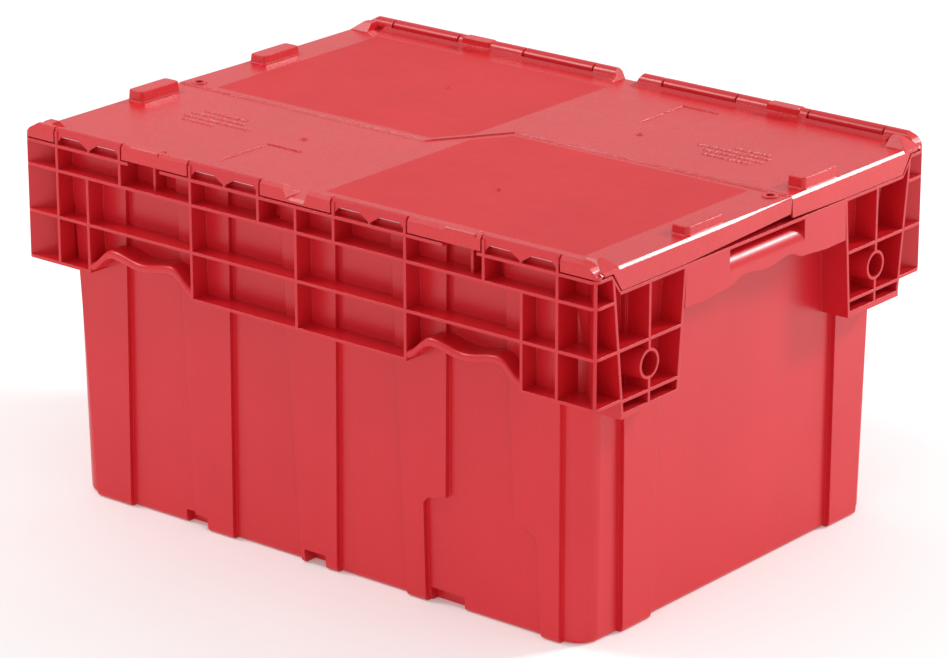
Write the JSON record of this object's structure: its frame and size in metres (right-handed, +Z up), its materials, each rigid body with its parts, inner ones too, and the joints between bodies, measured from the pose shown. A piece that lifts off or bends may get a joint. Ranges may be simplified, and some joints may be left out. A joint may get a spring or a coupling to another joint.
{
  "type": "attached lid tote",
  "caption": "Tapered open tub with a ribbed rim skirt, end handles and a pair of interlocking lid halves hinged along the long sides.",
  "frame": {"origin": "centre of the base, on the floor plane", "axes": "+X along the length, +Y towards the rear long side, +Z up"},
  "size_m": [0.709, 0.5232, 0.3886],
  "materials": {
    "tub_plastic": "fine moulded grain, satin",
    "lid_plastic": "smooth satin borders with spark-textured fields",
    "hinge_rod": "drawn wire, zinc plated"
  },
  "bodies": {
    "tub": {"front_grip_left": "tub_plastic", "front_grip_right": "tub_plastic", "front_knuckles": "tub_plastic", "front_rod_left": "hinge_rod", "front_rod_right": "hinge_rod", "front_skirt_posts": "tub_plastic", "front_skirt_rails": "tub_plastic", "left_bosses": "tub_plastic", "left_bracket_posts": "tub_plastic", "left_bracket_rails": "tub_plastic", "left_handle": "tub_plastic", "left_panels": "tub_plastic", "left_shelf": "tub_plastic", "rear_grip_left": "tub_plastic", "rear_grip_right": "tub_plastic", "rear_knuckles": "tub_plastic", "rear_rod_left": "hinge_rod", "rear_rod_right": "hinge_rod", "rear_skirt_posts": "tub_plastic", "rear_skirt_rails": "tub_plastic", "right_bosses": "tub_plastic", "right_bracket_posts": "tub_plastic", "right_bracket_rails": "tub_plastic", "right_handle": "tub_plastic", "right_panels": "tub_plastic", "right_shelf": "tub_plastic", "tub_corner_front_left": "tub_plastic", "tub_corner_front_right": "tub_plastic", "tub_corner_rear_left": "tub_plastic", "tub_corner_rear_right": "tub_plastic", "tub_floor": "tub_plastic", "tub_wall_front": "tub_plastic", "tub_wall_left": "tub_plastic", "tub_wall_rear": "tub_plastic", "tub_wall_right": "tub_plastic"},
    "front_lid": {"front_lid_end_skirts": "lid_plastic", "front_lid_flange_joins": "lid_plastic", "front_lid_flanges": "lid_plastic", "front_lid_lugs": "lid_plastic", "front_lid_panel": "lid_plastic"},
    "rear_lid": {"rear_lid_end_skirts": "lid_plastic", "rear_lid_flange_joins": "lid_plastic", "rear_lid_flanges": "lid_plastic", "rear_lid_lugs": "lid_plastic", "rear_lid_panel": "lid_plastic"}
  },
  "joints": [
    {"name": "front_lid_hinge", "type": "hinge", "parent": "tub", "child": "front_lid", "pos_m": [0, -0.257, 0.38], "axis": [1, 0, 0], "range_deg": [0, 225]},
    {"name": "rear_lid_hinge", "type": "hinge", "parent": "tub", "child": "rear_lid", "pos_m": [0, 0.257, 0.38], "axis": [1, 0, 0], "range_deg": [-225, 0]}
  ],
  "couplings": [
    {"joint": "rear_lid_hinge", "follows": "front_lid_hinge", "ratio": -1}
  ]
}
